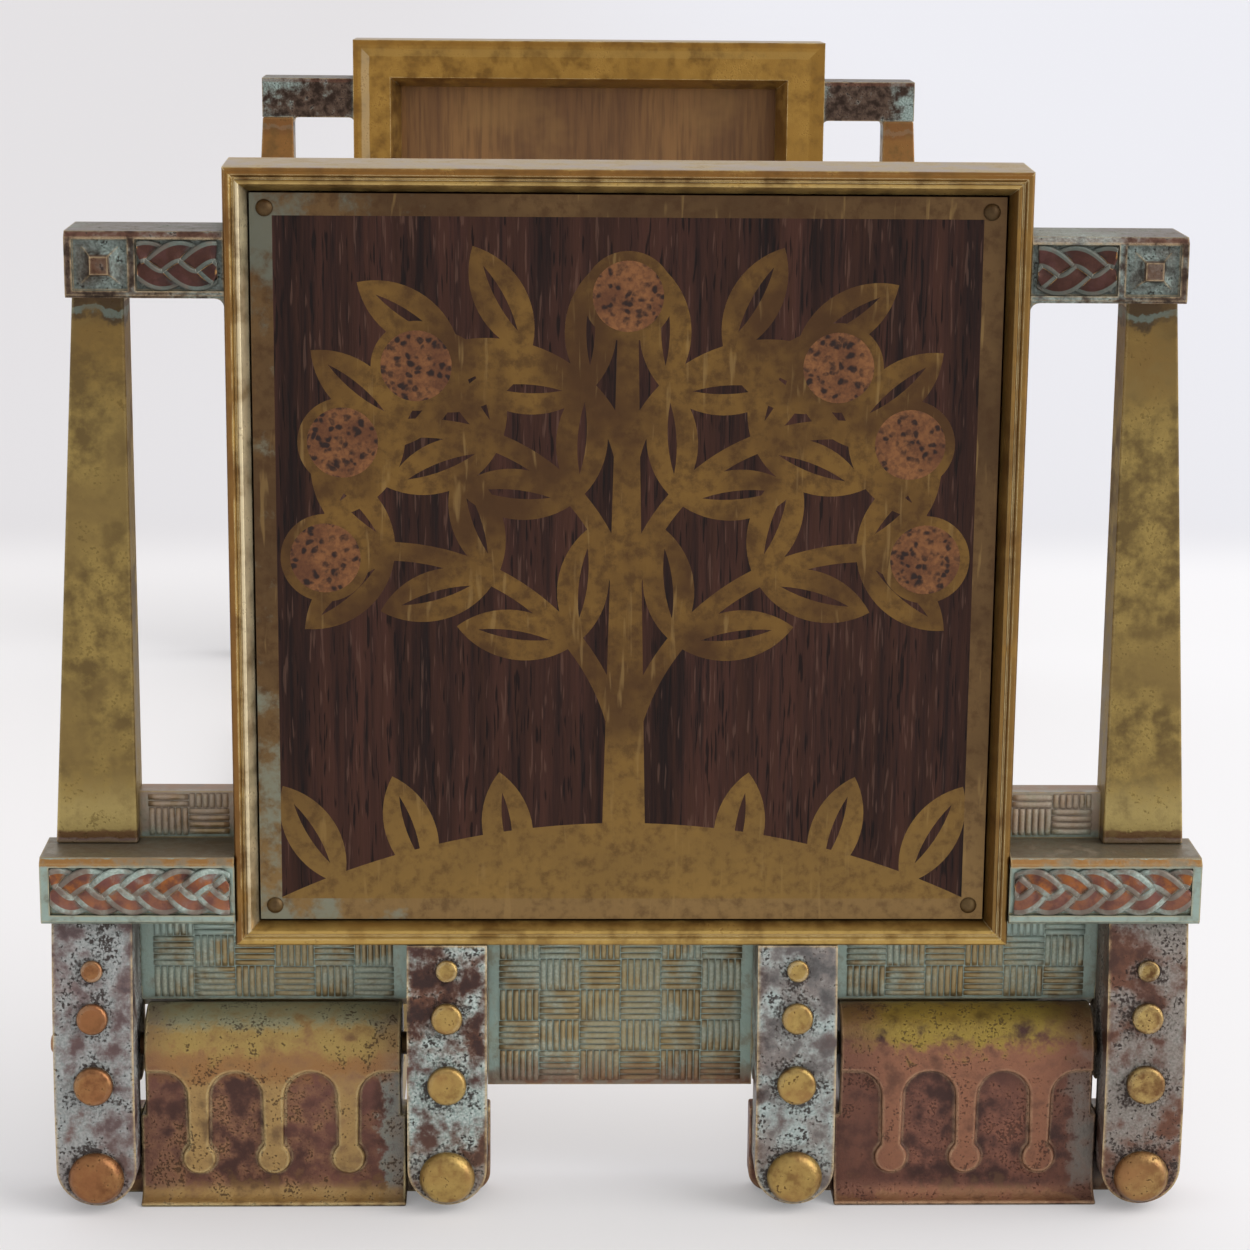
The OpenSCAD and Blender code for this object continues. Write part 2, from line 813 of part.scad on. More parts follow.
// Rails: the channel is on the left of each end and the slide bar on the right

module channel_section() {
    translate([bay_mid, 0]) difference() {
        translate([-rail_w / 2, 0]) square([rail_w, rail_h]);
        translate([-rail_in_w / 2, rail_wall]) square([rail_in_w, rail_ceiling - rail_wall]);
        translate([-slot_w / 2, -1]) square([slot_w, rail_wall + 2]);
    }
}

module channel() {
    color(brass) difference() {
        on_side(-1) along_y(foot_back, foot_back + channel_l) channel_section();
        rail_rivet_shanks(-1);
    }
}

module slide_bar() {
    color(brass) difference() {
        union() {
            block([bay_mid - bar_w / 2, foot_back, bar_mid],
                [bay_mid + bar_w / 2, foot_back + bar_l, bar_top]);
            block([bay_mid - bar_w / 2, foot_back + tab_l, bar_low],
                [bay_mid + bar_w / 2, foot_back + bar_l, bar_mid + eps]);
        }
        rail_rivet_shanks(1);
        stop_shank();
    }
}

function rail_rivet_top(side) = side < 0 ? rail_h : bar_top;

module rail_rivet_shanks(side) {
    low = side < 0 ? rail_wall : bar_low;
    on_side(side) for (y = rail_rivet_at)
        translate([bay_mid, foot_back + y, low]) cylinder(d = rail_rivet_d, h = rail_rivet_top(side) - low);
}

module rail_rivets() {
    color(brass) {
        rail_rivet_shanks(1);
        rail_rivet_shanks(-1);
        on_side(-1) for (y = rail_rivet_at)
            translate([bay_mid, foot_back + y, rail_h]) dome(rail_head_d, 1.1);
    }
}

module stop_shank() {
    translate([bay_mid, foot_back + bar_l - stop_in, 0.3]) cylinder(d = stop_d, h = bar_top - 0.3);
}

module stop_pin() {
    color(brass) stop_shank();
}

module stop_bar() {
    color(brass) on_side(-1)
        block([bay_mid - slot_w / 2, foot_back + channel_l - stop_bar_l, 0],
            [bay_mid + slot_w / 2, foot_back + channel_l, rail_wall]);
}

// Every piece of both ends
module part_of_end(part) {
    if (part == "end_plate") end_plate();
    if (part == "left_post") post(-1);
    if (part == "right_post") post(1);
    if (part == "left_arm") arm(-1);
    if (part == "right_arm") arm(1);
    if (part == "left_outer_strap") strap(-1, strap_mids[1]);
    if (part == "left_inner_strap") strap(-1, strap_mids[0]);
    if (part == "right_inner_strap") strap(1, strap_mids[0]);
    if (part == "right_outer_strap") strap(1, strap_mids[1]);
    if (part == "strap_rivets") strap_rivets();
    if (part == "strap_studs") strap_studs();
    if (part == "picture_frame") picture_frame();
    if (part == "rosewood_panel") rosewood_panel();
    if (part == "panel_border") panel_border();
    if (part == "brass_inlay") brass_inlay();
    if (part == "burl_inlay") burl_inlay();
    if (part == "panel_pins") panel_pins();
    if (part == "backing_board") backing_board();
    if (part == "left_hinge_leaf") hinge_leaf(-1);
    if (part == "right_hinge_leaf") hinge_leaf(1);
    if (part == "left_hinge_pin") hinge_pin(-1);
    if (part == "right_hinge_pin") hinge_pin(1);
    if (part == "channel") channel();
    if (part == "slide_bar") slide_bar();
    if (part == "rail_rivets") rail_rivets();
    if (part == "stop_pin") stop_pin();
    if (part == "stop_bar") stop_bar();
}

for (end = ENDS)
    for (part = END_NODES)
        place(end) part_of_end(part);
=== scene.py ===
import math

import bpy
from mathutils import Matrix, Vector


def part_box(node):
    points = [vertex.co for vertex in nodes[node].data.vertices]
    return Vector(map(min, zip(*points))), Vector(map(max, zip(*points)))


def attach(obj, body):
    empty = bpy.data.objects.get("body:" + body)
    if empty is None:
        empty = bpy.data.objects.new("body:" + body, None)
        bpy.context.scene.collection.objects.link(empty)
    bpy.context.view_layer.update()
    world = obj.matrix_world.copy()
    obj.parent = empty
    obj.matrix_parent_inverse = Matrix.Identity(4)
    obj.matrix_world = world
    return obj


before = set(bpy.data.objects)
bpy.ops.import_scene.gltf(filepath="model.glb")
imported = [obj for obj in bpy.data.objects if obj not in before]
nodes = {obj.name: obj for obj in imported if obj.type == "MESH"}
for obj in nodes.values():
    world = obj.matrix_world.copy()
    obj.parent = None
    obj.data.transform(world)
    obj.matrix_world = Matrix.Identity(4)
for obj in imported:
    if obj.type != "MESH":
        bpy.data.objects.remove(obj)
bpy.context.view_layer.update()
mm = 0.001
ends = ("front", "rear")
print("frame loaded:", len(nodes), "nodes")


# node helpers

def tone(code):
    # sRGB hex to linear colour
    parts = [int(code[i:i + 2], 16) / 255 for i in (1, 3, 5)]
    return tuple(c / 12.92 if c <= 0.04045 else ((c + 0.055) / 1.055) ** 2.4 for c in parts) + (1.0,)


def plug(tree, socket, value):
    # value: another node's output, a hex colour or a plain number or vector
    if hasattr(value, "is_linked"):
        tree.links.new(value, socket)
    elif isinstance(value, str):
        socket.default_value = tone(value)
    else:
        socket.default_value = value


def addNode(tree, kind, settings=None, **inputs):
    node = tree.nodes.new("ShaderNode" + kind)
    for key, value in (settings or {}).items():
        setattr(node, key, value)
    for key, value in inputs.items():
        plug(tree, node.inputs[key], value)
    return node


def calc(tree, operation, a, b=0.0, clamp=False):
    node = addNode(tree, "Math", {"operation": operation, "use_clamp": clamp})
    plug(tree, node.inputs[0], a)
    plug(tree, node.inputs[1], b)
    return node.outputs[0]


def add(tree, a, b, clamp=False):
    return calc(tree, "ADD", a, b, clamp)


def less(tree, a, b):
    return calc(tree, "SUBTRACT", a, b)


def times(tree, a, b, clamp=False):
    return calc(tree, "MULTIPLY", a, b, clamp)


def blendColor(tree, factor, a, b):
    # a Mix node's colour sockets are 6 and 7, its colour result is 2
    node = addNode(tree, "Mix", {"data_type": "RGBA"})
    plug(tree, node.inputs[0], factor)
    plug(tree, node.inputs[6], a)
    plug(tree, node.inputs[7], b)
    return node.outputs[2]


def spread(tree, value, low, high, toLow=0.0, toHigh=1.0):
    # soft step from low to high
    node = addNode(tree, "MapRange", {"interpolation_type": "SMOOTHSTEP"})
    for index, item in enumerate((value, low, high, toLow, toHigh)):
        plug(tree, node.inputs[index], item)
    return node.outputs[0]


def grain(tree, place, scale, detail, rough, stretch=None, twist=0.0):
    if stretch:
        place = addNode(tree, "Mapping", Vector=place, Scale=stretch).outputs[0]
    node = addNode(tree, "TexNoise", Vector=place, Scale=scale, Detail=detail, Roughness=rough,
                   Distortion=twist)
    return node.outputs[0]


def openness(tree, distance):
    # 1 on open faces, lower in corners
    return addNode(tree, "AmbientOcclusion", {"samples": 6}, Distance=distance).outputs["AO"]


def startMaterial(name):
    mat = bpy.data.materials.new(name)
    mat.use_nodes = True
    tree = mat.node_tree
    shader = tree.nodes["Principled BSDF"]
    place = addNode(tree, "TexCoord").outputs["Object"]
    return mat, tree, shader, place


def addBump(tree, shader, height, deep):
    node = addNode(tree, "Bump", Height=height, Strength=1.0, Distance=deep)
    tree.links.new(node.outputs[0], shader.inputs["Normal"])


# stains by place on metal, some of them painted highlight and painted shade; bayMid and frameMid are the middles of a
# foot and of the frame in mm
stainRule = {"bayMid": 49.3, "frameMid": 93.0, "middle": 0.5, "uneven": (0.28, 0.56, 0.35, 1.0), "stopSoft": 0.2}


def stainAxis(tree, axes, axis):
    # abs: both sides alike, bay: distance from a foot's middle, rail: on the frame's own upright or level bars
    value = axes.outputs[axis[-1]]
    if axis.startswith("rail"):
        level = less(tree, axes.outputs["Z"], stainRule["frameMid"] * mm)
        own, other = (level, axes.outputs["X"]) if axis == "railZ" else (value, level)
        onBar = calc(tree, "GREATER_THAN", calc(tree, "ABSOLUTE", own), calc(tree, "ABSOLUTE", other))
        return times(tree, own, onBar)
    if axis != axis[-1]:
        value = calc(tree, "ABSOLUTE", value)
    if axis.startswith("bay"):
        value = calc(tree, "ABSOLUTE", less(tree, value, stainRule["bayMid"] * mm))
    return value


def addStainsAndPaintedLight(tree, place, mottle, skin, stains):
    axes = addNode(tree, "SeparateXYZ", Vector=place)
    drift = less(tree, mottle, stainRule["middle"])
    uneven = spread(tree, mottle, *stainRule["uneven"])
    for axis, low, high, stop, color, amount, wobble in stains:
        value = add(tree, stainAxis(tree, axes, axis), times(tree, drift, wobble * mm))
        mask = times(tree, spread(tree, value, low * mm, high * mm, 0.0, amount), uneven)
        if stop is not None:
            past = stop + (stainRule["stopSoft"] if high > low else -stainRule["stopSoft"])
            mask = times(tree, mask, spread(tree, value, past * mm, stop * mm))
        skin = blendColor(tree, mask, skin, color)
    return skin


# metals: brown skin, green in patches, stains with some painted highlight and shade, dirt and painted shade in the
# corners, pits, and rubbed edges that are partly painted highlight

metalNoise = {
    # detail and roughness, with the scale in front for the specks
    "patches": (4.0, 0.6), "patchTwist": 0.4, "mottle": (5.0, 0.62), "speck": (2600.0, 3.0, 0.6),
}
metalSteps = {
    # where each mask starts and is full
    "edge": (0.985, 0.86), "skin": (0.36, 0.66), "second": (0.42, 0.68), "corner": (1.0, 0.4),
    "chalk": (0.36, 0.7), "grimeAndShade": (0.92, 0.4), "pitNear": (1.0, 0.75), "rubAndHighlight": (0.3, 0.58), "rough": (0.3, 0.7),
}
metalMix = {
    # shares of one noise or mask in another
    "greenEdge": 0.12, "greenRough": 0.25, "greenMetal": 0.2, "roughLess": 0.08, "roughMore": 0.1,
    "pitCells": 0.35, "pitSpeck": 0.9, "pitPatches": -0.3, "pitSoft": 0.12,
    "highMottle": 0.7, "highSpeck": 0.5, "highPits": 0.8,
}
# bloom: shares of patches and mottle in the green; greenAt and pitAt: where green and pits start;
# greenIn and pitIn: more of them in corners; bump in mm
metalBase = {
    "patchScale": 62.0, "mottleScale": 420.0, "cavity": 2.2 * mm, "edge": 0.5 * mm, "rubAndHighlight": 0.9, "shine": 0.0,
    "rough": 0.42, "metal": 0.75, "bump": 0.10, "grimeAndShade": 0.7, "dirtAndShade": "#3a2412", "stains": (),
    "bloom": (0.75, 0.45), "greenIn": 0.35, "greenSoft": 0.16, "greenTop": 0.85,
    "green": "#6f8a80", "chalk": "#9fb3aa",
    "pits": 0.0, "pitScale": 1900.0, "pitAt": 0.02, "pitIn": 0.0, "pitClump": 1.2, "pitColor": "#2a1d18",
}
# stains, some of them painted highlight and painted shade: axis, where it starts, is full and stops in mm, colour,
# amount, wobble in mm
metalLooks = {
    "frameBrass": {
        "base": "#b08c46", "second": "#9c7636", "dark": "#714f20", "bright": "#f2e0ac", "shine": 0.04,
        "greenAt": 1.02, "grimeAndShade": 0.95, "cavity": 0.5 * mm, "dirtAndShade": "#4a280a", "rough": 0.36, "edge": 0.3 * mm,
        "metal": 0.8, "bump": 0.06, "mottleScale": 240.0, "pits": 0.35, "pitColor": "#6a441c",
        "stains": (
            # the pale left inner slope is painted highlight on a pale deposit, the brighter bottom rail is painted
            # highlight, the darker right rail is dirt and painted shade; the dark grooves are dirt
            ("railX", -52.5, -52.1, -50.6, "#f0e2bc", 0.75, 0.6), ("railZ", 52.4, 52.0, 50.6, "#c4a868", 0.55, 0.7),
            ("railZ", 52.8, 53.2, 53.9, "#7c4c1c", 0.7, 1.4), ("railX", -52.9, -53.3, -53.95, "#6e3c16", 0.6, 0.9),
            ("railX", 50.6, 51.2, None, "#66461e", 0.6, 1.2), ("railZ", -51.0, -51.8, None, "#c6a45a", 0.7, 0.9),
            ("railZ", 53.9, 53.98, None, "#a8946a", 0.6, 0.1), ("absY", 155.8, 155.2, None, "#b4883c", 0.6, 0.2),
        ),
    },
    "postBrass": {
        "base": "#9c8448", "second": "#80693a", "dark": "#604c28", "bright": "#dcc68c", "shine": 0.04,
        "greenAt": 1.05, "grimeAndShade": 0.4, "cavity": 3 * mm, "dirtAndShade": "#5a3c24", "rough": 0.38, "bump": 0.07,
        "patchScale": 55.0, "mottleScale": 300.0, "pits": 0.4, "pitColor": "#54421f",
        "stains": (
            # the dark band and green neck at the post's top, under the arm, are corrosion and partly painted shade from
            # the arm; the foot is darker red-brown where the post meets the band
            ("Z", 110, 124, None, "#76582c", 0.55, 22), ("Z", 125.0, 126.1, None, "#483a2a", 0.9, 6),
            ("Z", 126.3, 126.8, 127.6, "#76867c", 0.6, 5), ("Z", 63, 56, None, "#b8a468", 0.75, 9),
            ("Z", 54.3, 53.8, 52.9, "#64402c", 0.85, 2), ("Z", 53.1, 52.8, None, "#8e7c78", 0.75, 1.2),
            ("absY", 155.9, 155.3, None, "#a06c3a", 0.65, 0.3),
        ),
    },
    "armBronze": {
        "base": "#6c584a", "second": "#58443a", "dark": "#34271f", "bright": "#ccb48c", "greenAt": 0.54,
        "green": "#7e928a", "chalk": "#b8cac2", "greenTop": 0.88, "pits": 0.8, "grimeAndShade": 0.6, "mottleScale": 520.0,
        "stains": (
            ("absY", 167.9, 168.3, None, "#664632", 0.8, 0.4), ("Z", 137.3, 137.7, 138.2, "#7e5240", 0.5, 0.8),
            ("Z", 138.25, 138.38, None, "#7a7060", 0.65, 0.1),
        ),
    },
    "lobeBronze": {
        "base": "#a8662f", "second": "#7a4c44", "dark": "#5e3a32", "bright": "#cc9a5c", "greenAt": 0.68,
        "green": "#98a69c", "chalk": "#b6c2ba", "greenTop": 0.75, "greenIn": 0.3, "cavity": 1.0 * mm,
        "grimeAndShade": 0.45, "dirtAndShade": "#3c2620", "edge": 0.2 * mm, "patchScale": 130.0, "metal": 0.6,
        "stains": (("Z", 47.6, 46.6, None, "#8c6254", 0.5, 2.5), ("Z", 100, 110, None, "#341e1e", 0.9, 0.0)),
    },
    "rimBronze": {
        "base": "#8e8678", "second": "#8a7c6a", "dark": "#76685c", "bright": "#bcbcae", "greenAt": 0.56,
        "green": "#9cada2", "chalk": "#c0cec4", "greenTop": 0.9, "greenIn": 0.1, "cavity": 0.8 * mm,
        "grimeAndShade": 0.5, "dirtAndShade": "#5a524a", "edge": 0.2 * mm, "patchScale": 130.0, "metal": 0.35, "rough": 0.55,
        "stains": (("Z", 100, 110, None, "#505850", 0.8, 0.0),),
    },
    "strapBronze": {
        "base": "#8a5c44", "second": "#6e4c44", "dark": "#3e2c28", "bright": "#e4c894", "greenAt": 0.53,
        "bloom": (0.5, 0.7), "green": "#9ab0a8", "chalk": "#d8e2dc", "greenTop": 0.9, "greenSoft": 0.15,
        "greenIn": 0.06, "patchScale": 70.0, "mottleScale": 260.0, "bump": 0.16, "rubAndHighlight": 1.0, "edge": 0.8 * mm,
        "grimeAndShade": 0.3, "metal": 0.6,
        "pits": 0.9, "pitIn": 0.15, "pitScale": 1500.0, "pitAt": -0.04, "pitColor": "#33241f",
        "stains": (
            ("Z", 14, 5, None, "#86644f", 0.5, 16), ("X", 17, 21, 33, "#b4bebc", 0.38, 10),
            ("X", -60, -64, None, "#928688", 0.48, 8), ("X", 60, 64, None, "#76503f", 0.62, 8),
        ),
    },
    "plateBronze": {
        "base": "#a09274", "second": "#94886c", "dark": "#6e5e42", "bright": "#c0a878", "greenAt": 0.64,
        "green": "#98b0a5", "chalk": "#c0d0c8", "greenTop": 0.9, "greenIn": 0.0, "cavity": 0.5 * mm,
        "grimeAndShade": 0.6, "dirtAndShade": "#4c4636", "metal": 0.6,
        "stains": (
            ("absY", 157.0, 158.2, None, "#a0b6ac", 0.9, 0.5), ("Z", 18.0, 15.6, None, "#7a4c32", 0.9, 4),
            ("Z", 50.7, 51.1, 51.8, "#a07034", 0.95, 0.8), ("Z", 51.85, 51.97, 52.02, "#765a3c", 0.8, 0.05),
            ("Z", 52.3, 53.5, None, "#a4806a", 0.7, 1.5),
        ),
    },
    "weaveBronze": {
        "base": "#b09e76", "second": "#a89c80", "dark": "#968664", "bright": "#dcc898", "greenAt": 0.5,
        "green": "#a6b6a6", "chalk": "#c6d2c4", "greenIn": 0.0, "cavity": 0.45 * mm,
        "grimeAndShade": 0.95, "dirtAndShade": "#4a4030", "edge": 0.2 * mm, "patchScale": 100.0, "metal": 0.5,
        "stains": (
            ("absX", 11, 4, None, "#b49c62", 0.5, 26), ("bayX", 11, 4, None, "#ac9058", 0.65, 20),
            ("Z", 34, 30, None, "#a48e64", 0.22, 8), ("Z", 21, 15.2, None, "#80563e", 0.9, 10),
            ("Z", 36.0, 38.4, 43, "#b2c6bc", 0.95, 4), ("Z", 52, 54, None, "#c09c84", 0.6, 3),
        ),
    },
    "rivetBrass": {
        "base": "#bca264", "second": "#a0744a", "dark": "#684a2c", "bright": "#f8eed2", "rubAndHighlight": 1.0,
        "greenAt": 1.0, "grimeAndShade": 0.8, "pits": 0.8, "pitColor": "#5a3c22", "rough": 0.38, "dirtAndShade": "#2c1c14",
        "metal": 0.85, "edge": 0.7 * mm, "patchScale": 34.0, "mottleScale": 520.0, "bump": 0.14,
        "stains": (("X", -60, -64, None, "#96583a", 0.6, 3), ("absX", 40, 36, None, "#c0a45c", 0.5, 8)),
    },
    "leftFootBronze": {
        "base": "#966750", "second": "#7c5044", "dark": "#4a2e26", "bright": "#e8d49c", "rubAndHighlight": 1.0, "metal": 0.45,
        "greenAt": 0.86, "greenIn": 0.1, "cavity": 1.6 * mm, "grimeAndShade": 0.95, "dirtAndShade": "#341d14", "bump": 0.16,
        "edge": 0.8 * mm, "rough": 0.46, "mottleScale": 300.0,
        "pits": 0.75, "pitAt": -0.05, "pitScale": 2400.0, "pitColor": "#46301f",
        "stains": (
            ("X", -34.8, -33.4, -30.0, "#94a8a0", 0.85, 12), ("absY", 165.3, 166.0, None, "#b4945a", 0.85, 1.2),
            ("Z", 17, 20, None, "#98683c", 0.75, 9), ("Z", 21.0, 23.6, None, "#ac9252", 0.9, 9),
            ("Z", 25.0, 27.0, None, "#96987c", 0.85, 6), ("bayX", 13, 18, None, "#7c5646", 0.5, 12),
            ("Z", 2.6, 0.6, None, "#ac854a", 0.6, 16),
        ),
    },
    "rightFootBronze": {
        "base": "#865848", "second": "#6a4438", "dark": "#432a24", "bright": "#dcb890", "metal": 0.45,
        "greenAt": 0.8, "greenIn": 0.22, "cavity": 1.6 * mm, "grimeAndShade": 0.95, "dirtAndShade": "#2c1811", "bump": 0.16,
        "edge": 0.8 * mm, "rough": 0.46, "mottleScale": 300.0,
        "pits": 0.65, "pitAt": -0.03, "pitScale": 2400.0, "pitColor": "#3c2620",
        "stains": (
            ("X", 63.6, 65.0, 69.5, "#94a8a0", 0.95, 10), ("absY", 165.3, 166.0, None, "#9c6a4e", 0.85, 1.2),
            ("Z", 22, 25, None, "#a0883a", 0.95, 14), ("bayX", 10, 16, None, "#744c3c", 0.75, 14),
            ("Z", 2.0, 0.5, None, "#a47c52", 0.5, 14),
        ),
    },
    "railBrass": {
        "base": "#9a8250", "second": "#8c7444", "dark": "#6e5830", "bright": "#d0b878", "shine": 0.15,
        "greenAt": 1.05,
    },
}


def edgeLean(tree, radius):
    # 1 on flat faces, less where the normal that is softened over an edge leans away
    lean = addNode(tree, "VectorMath", {"operation": "DOT_PRODUCT"})
    plug(tree, lean.inputs[0], addNode(tree, "Bevel", {"samples": 4}, Radius=radius).outputs[0])
    plug(tree, lean.inputs[1], addNode(tree, "NewGeometry").outputs["Normal"])
    return lean.outputs["Value"]


def patinaMetal(name, look):
    mat, tree, shader, place = startMaterial(name)

    def step(value, key):
        return spread(tree, value, *metalSteps[key])

    patches = grain(tree, place, look["patchScale"], *metalNoise["patches"], twist=metalNoise["patchTwist"])
    mottle = grain(tree, place, look["mottleScale"], *metalNoise["mottle"])
    speck = grain(tree, place, *metalNoise["speck"])
    opening = openness(tree, look["cavity"])
    edge = step(edgeLean(tree, look["edge"]), "edge")

    skin = blendColor(tree, step(mottle, "skin"), look["dark"], look["base"])
    skin = blendColor(tree, step(patches, "second"), skin, look["second"])
    skin = blendColor(tree, look["shine"], skin, look["bright"])

    broad, fine = look["bloom"]
    reach = add(tree, times(tree, patches, broad), times(tree, mottle, fine))
    reach = add(tree, reach, times(tree, step(opening, "corner"), look["greenIn"]))
    reach = less(tree, reach, times(tree, edge, metalMix["greenEdge"]))
    green = spread(tree, reach, look["greenAt"], look["greenAt"] + look["greenSoft"])
    green = times(tree, green, look["greenTop"], True)
    chalk = blendColor(tree, step(speck, "chalk"), look["green"], look["chalk"])
    skin = blendColor(tree, green, skin, chalk)

    skin = addStainsAndPaintedLight(tree, place, mottle, skin, look["stains"])
    # darker in corners and creases from ambient occlusion: dirt and painted shade together
    grimeAndShade = times(tree, step(opening, "grimeAndShade"), look["grimeAndShade"], True)
    skin = blendColor(tree, grimeAndShade, skin, look["dirtAndShade"])

    cells = addNode(tree, "TexVoronoi", Vector=place, Scale=look["pitScale"]).outputs["Distance"]
    ragged = add(tree, times(tree, cells, metalMix["pitCells"]), times(tree, speck, metalMix["pitSpeck"]))
    pits = less(tree, times(tree, mottle, look["pitClump"]), ragged)
    near = times(tree, step(opening, "pitNear"), look["pitIn"])
    pits = add(tree, pits, add(tree, near, times(tree, patches, metalMix["pitPatches"])))
    pits = spread(tree, pits, look["pitAt"], look["pitAt"] + metalMix["pitSoft"])
    pits = times(tree, pits, look["pits"], True)
    skin = blendColor(tree, pits, skin, look["pitColor"])

    # pale edges: worn metal and painted highlight together
    rubAndHighlight = times(tree, times(tree, edge, look["rubAndHighlight"]), step(mottle, "rubAndHighlight"), True)
    skin = blendColor(tree, rubAndHighlight, skin, look["bright"])
    tree.links.new(skin, shader.inputs["Base Color"])

    rough = spread(tree, mottle, *metalSteps["rough"], look["rough"] - metalMix["roughLess"],
                   look["rough"] + metalMix["roughMore"])
    rough = add(tree, rough, times(tree, green, metalMix["greenRough"]), True)
    tree.links.new(rough, shader.inputs["Roughness"])
    metal = spread(tree, green, 0.0, 1.0, look["metal"], metalMix["greenMetal"])
    tree.links.new(metal, shader.inputs["Metallic"])
    height = add(tree, times(tree, mottle, metalMix["highMottle"]), times(tree, speck, metalMix["highSpeck"]))
    height = less(tree, height, times(tree, pits, metalMix["highPits"]))
    addBump(tree, shader, height, look["bump"] * mm)
    return mat


metals = {name: patinaMetal(name, {**metalBase, **look}) for name, look in metalLooks.items()}
print("metals:", len(metals))


# dull inlay brass with fine rubbing marks; the border is corroded at two corners, the pins are darker
inlayLooks = {
    "inlayBrass": {"low": "#523820", "high": "#80602f", "worn": "#94753f", "pale": 0.0},
    "borderBrass": {"low": "#563f27", "high": "#6e5434", "worn": "#987a4c", "pale": 0.8},
    "pinBrass": {"low": "#40301c", "high": "#5c482c", "worn": "#6e5836", "pale": 0.0},
}
inlayBase = {
    # noises: scale, detail, roughness, stretch, twist
    "clouds": (55.0, 4.0, 0.6), "mottle": (500.0, 5.0, 0.65), "blots": (190.0, 5.0, 0.68),
    "marks": (900.0, 2.0, 0.5, (1.0, 1.0, 0.12), 0.3),
    "cloudStep": (0.35, 0.65), "stain": "#4a321c", "stainStep": (0.32, 0.6, 0.7, 0.0),
    "mark": "#a08250", "markStep": (0.62, 0.74, 0.0, 0.4),
    "wornZ": (80 * mm, 42 * mm, 0.0, 0.75), "wornStep": (0.3, 0.58, 0.4, 1.0),
    # corroded corners: slope of z against x, wobble, where it starts and is full in mm, colour
    "corners": ((0.35, 110, -18, -40, "#868a78"), (-1.0, 60, -176, -190, "#6e7264")), "blotMiddle": 0.5,
    "dirtAndShade": "#33210f", "dirtAndShadeStep": (0.85, 0.4, 0.0, 0.7), "cavity": 0.9 * mm,
    "metal": 0.75, "rough": (0.3, 0.7, 0.4, 0.56), "bump": 0.04 * mm,
}


def inlayBrass(name, look):
    mat, tree, shader, place = startMaterial(name)
    clouds, mottle, marks = (grain(tree, place, *look[key]) for key in ("clouds", "mottle", "marks"))
    skin = blendColor(tree, spread(tree, clouds, *look["cloudStep"]), look["low"], look["high"])
    skin = blendColor(tree, spread(tree, mottle, *look["stainStep"]), skin, look["stain"])
    skin = blendColor(tree, spread(tree, marks, *look["markStep"]), skin, look["mark"])
    axes = addNode(tree, "SeparateXYZ", Vector=place)
    worn = times(tree, spread(tree, axes.outputs["Z"], *look["wornZ"]), spread(tree, mottle, *look["wornStep"]))
    skin = blendColor(tree, worn, skin, look["worn"])
    if look["pale"]:
        blots = less(tree, grain(tree, place, *look["blots"]), look["blotMiddle"])
        for slope, wobble, start, full, color in look["corners"]:
            corner = add(tree, axes.outputs["X"], times(tree, axes.outputs["Z"], slope))
            corner = add(tree, corner, times(tree, blots, wobble * mm))
            skin = blendColor(tree, spread(tree, corner, start * mm, full * mm, 0.0, look["pale"]), skin, color)
    # darker in corners and gaps from ambient occlusion: dirt and painted shade together
    opening = openness(tree, look["cavity"])
    skin = blendColor(tree, spread(tree, opening, *look["dirtAndShadeStep"]), skin, look["dirtAndShade"])
    tree.links.new(skin, shader.inputs["Base Color"])
    shader.inputs["Metallic"].default_value = look["metal"]
    tree.links.new(spread(tree, mottle, *look["rough"]), shader.inputs["Roughness"])
    addBump(tree, shader, add(tree, mottle, marks), look["bump"])
    return mat


# woods with upright grain: dark rosewood with open pores, brown backing board
woodLooks = {
    "rosewood": {
        # noises: scale, detail, roughness, stretch, twist
        "noises": {"bands": (150.0, 5.0, 0.62, (1.0, 1.0, 0.05), 0.3),
                   "streaks": (800.0, 4.0, 0.65, (1.0, 1.0, 0.04)), "pores": (2300.0, 1.0, 0.5, (1.0, 1.0, 0.08))},
        "ground": ("bands", (0.35, 0.68), "#1e0e0a", "#4a2c22"),
        "layers": (("streaks", (0.4, 0.72, 0.0, 0.7), "#42291e"), ("streaks", (0.5, 0.3, 0.0, 0.8), "#140a08"),
                   ("pores", (0.64, 0.72, 0.0, 0.4), "#6a4e40"), ("pores", (0.38, 0.3, 0.0, 0.85), "#120806")),
        "rough": ("streaks", (0.3, 0.7, 0.5, 0.7)), "specular": 0.18, "bump": 0.10 * mm, "relief": ("pores", "streaks"),
    },
    "backingWood": {
        "noises": {"bands": (90.0, 4.0, 0.6, (1.0, 1.0, 0.08), 0.5),
                   "fibre": (900.0, 3.0, 0.6, (1.0, 1.0, 0.06)), "stains": (40.0, 4.0, 0.6)},
        "ground": ("bands", (0.35, 0.65), "#6e4a26", "#8a6234"),
        "layers": (("fibre", (0.4, 0.68, 0.0, 0.6), "#553618"), ("stains", (0.5, 0.7, 0.0, 0.5), "#96703c")),
        "rough": 0.62, "specular": 0.5, "bump": 0.06 * mm, "relief": ("fibre",),
    },
}


